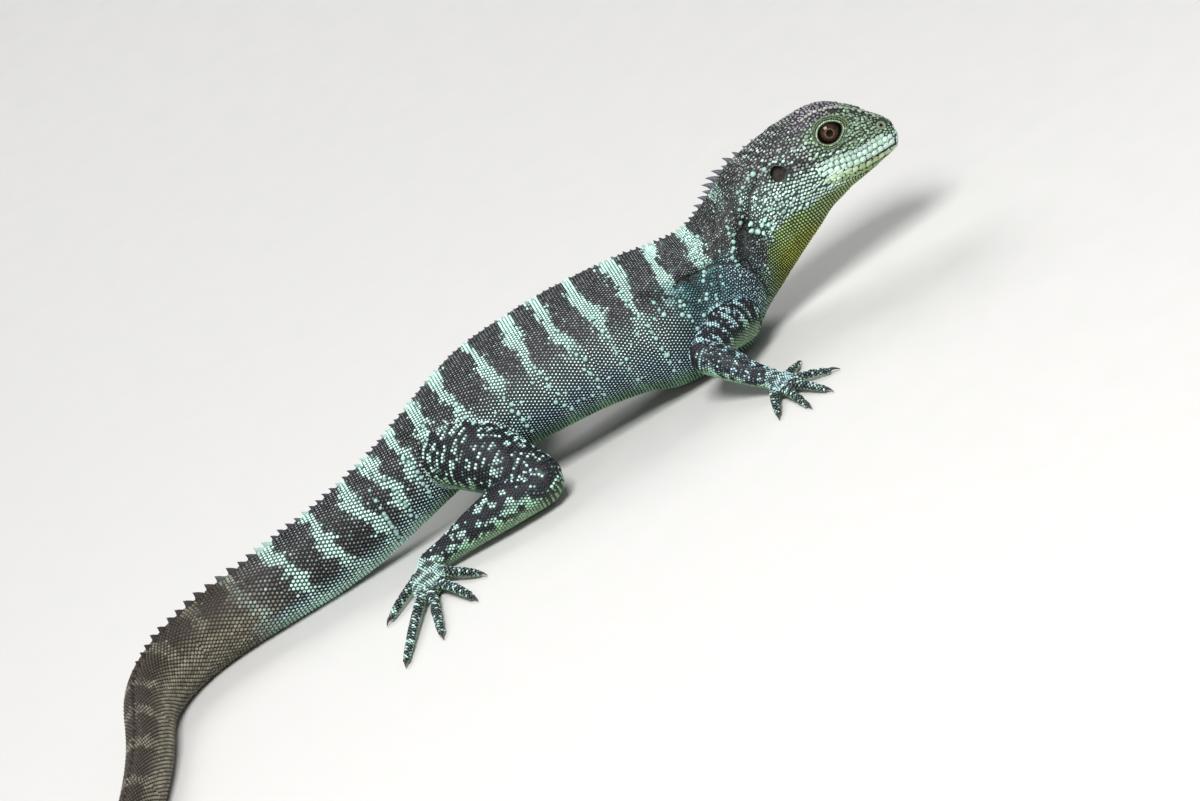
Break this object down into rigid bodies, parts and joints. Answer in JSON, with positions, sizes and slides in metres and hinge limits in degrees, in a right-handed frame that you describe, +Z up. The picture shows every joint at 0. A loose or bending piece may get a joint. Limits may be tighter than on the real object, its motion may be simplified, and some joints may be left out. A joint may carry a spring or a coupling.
{
  "type": "water dragon model",
  "caption": "Life-size still model of a water dragon lying low on the floor, head raised, legs spread and tail curved",
  "frame": {"origin": "On the floor, on the flat of the chest's keel, midway between the shoulders", "axes": "+X towards the head along the straight trunk, +Y to the animal's left, +Z up from the floor"},
  "size_m": [0.4941, 0.3826, 0.0667],
  "materials": {
    "head_skin": "painted scales, satin, grey-green with pale turquoise lips and a green throat",
    "body_skin": "painted scales, satin, charcoal with pale turquoise crossbands",
    "tail_skin": "painted scales, satin, brown-grey with darker rings",
    "leg_skin": "painted scales, satin, charcoal with pale green spots",
    "claw": "dark brown horn, smooth",
    "eye": "glossy eye with a red-brown iris and a round black pupil"
  },
  "bodies": {
    "root": {"head": "head_skin", "eye_right": "eye", "eye_left": "eye", "neck": "head_skin", "torso_front": "body_skin", "torso_rear": "body_skin", "tail_1": "body_skin", "tail_2": "tail_skin", "tail_3": "tail_skin", "tail_4": "tail_skin", "tail_5": "tail_skin", "tail_6": "tail_skin", "upper_arm_right": "leg_skin", "forearm_right": "leg_skin", "hand_right": "leg_skin", "upper_arm_left": "leg_skin", "forearm_left": "leg_skin", "hand_left": "leg_skin", "thigh_right": "leg_skin", "shank_right": "leg_skin", "foot_right": "leg_skin", "thigh_left": "leg_skin", "shank_left": "leg_skin", "foot_left": "leg_skin"}
  },
  "joints": []
}
